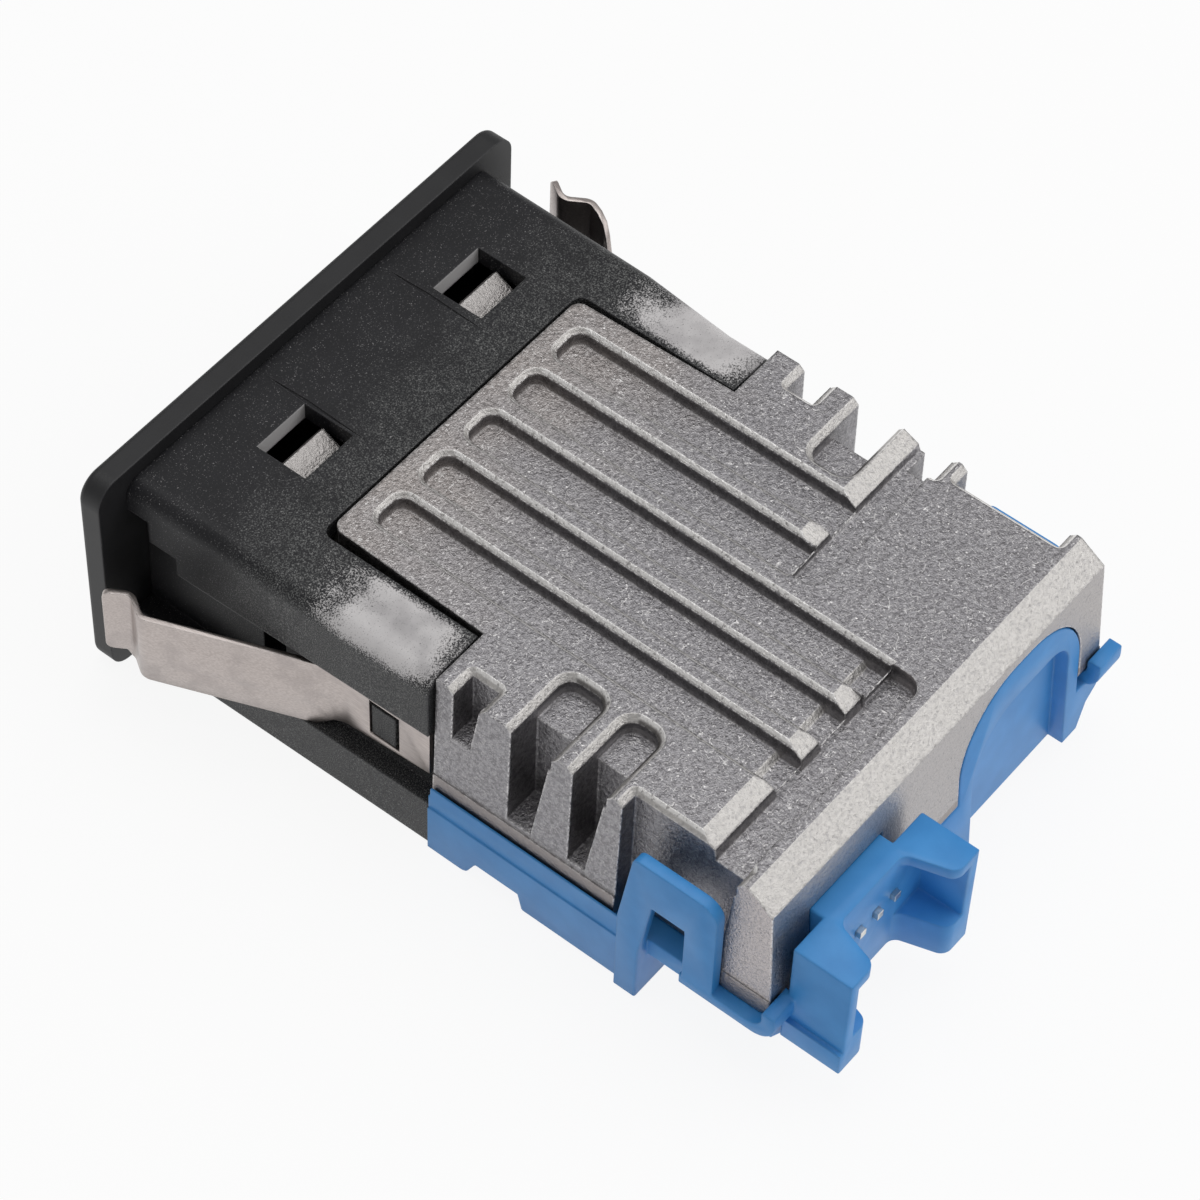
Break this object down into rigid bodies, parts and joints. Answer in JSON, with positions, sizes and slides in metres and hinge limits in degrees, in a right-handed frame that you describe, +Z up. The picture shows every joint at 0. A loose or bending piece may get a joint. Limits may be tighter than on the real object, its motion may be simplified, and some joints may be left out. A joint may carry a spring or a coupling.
{
  "type": "car usb socket",
  "caption": "Flush twin USB charging socket for a car dashboard, with side spring clips, a cast finned heat sink and a rear plug shroud.",
  "frame": {"origin": "middle of the flange's rear face, which seats on the panel", "axes": "+Y from the socket face to the rear plug, +Z up to the cooling grooves, +X to the right seen from the front"},
  "size_m": [0.0492, 0.0654, 0.0206],
  "materials": {
    "black_moulding": "fine matt grain",
    "painted_casting": "satin black paint fading to bare metal at the rear arms",
    "bare_casting": "die-cast skin with fine scratches and bright edges",
    "blue_moulding": "satin moulded plastic",
    "spring_steel": "rolled stainless sheet",
    "circuit_board": "solder mask",
    "tinned_contact": "tin plated",
    "plated_shell": "nickel plated",
    "insulator": "moulded",
    "gold_contact": "gold plated",
    "chip_body": "moulded package",
    "soft_pad": "soft silicone",
    "ferrite": "pressed ferrite",
    "capacitor_can": "drawn can",
    "ceramic_chip": "fired ceramic",
    "clear_plastic": "polished",
    "lamp_body": "moulded"
  },
  "bodies": {
    "root": {"front_bezel": "black_moulding", "housing": "painted_casting", "heat_sink": "bare_casting", "connector_base": "blue_moulding", "spring_clip_left": "spring_steel", "spring_clip_right": "spring_steel", "main_board": "circuit_board", "header_pins": "tinned_contact", "usb_shell_left": "plated_shell", "usb_shell_right": "plated_shell", "usb_tongue_left": "insulator", "usb_tongue_right": "insulator", "usb_contacts_left": "gold_contact", "usb_contacts_right": "gold_contact", "power_chip": "chip_body", "controller_chip": "chip_body", "power_chip_pad": "soft_pad", "controller_chip_pad": "soft_pad", "inductor_left": "ferrite", "inductor_right": "ferrite", "round_capacitors": "capacitor_can", "ceramic_capacitors": "ceramic_chip", "light_guide": "clear_plastic", "indicator_lamp": "lamp_body"}
  },
  "joints": []
}
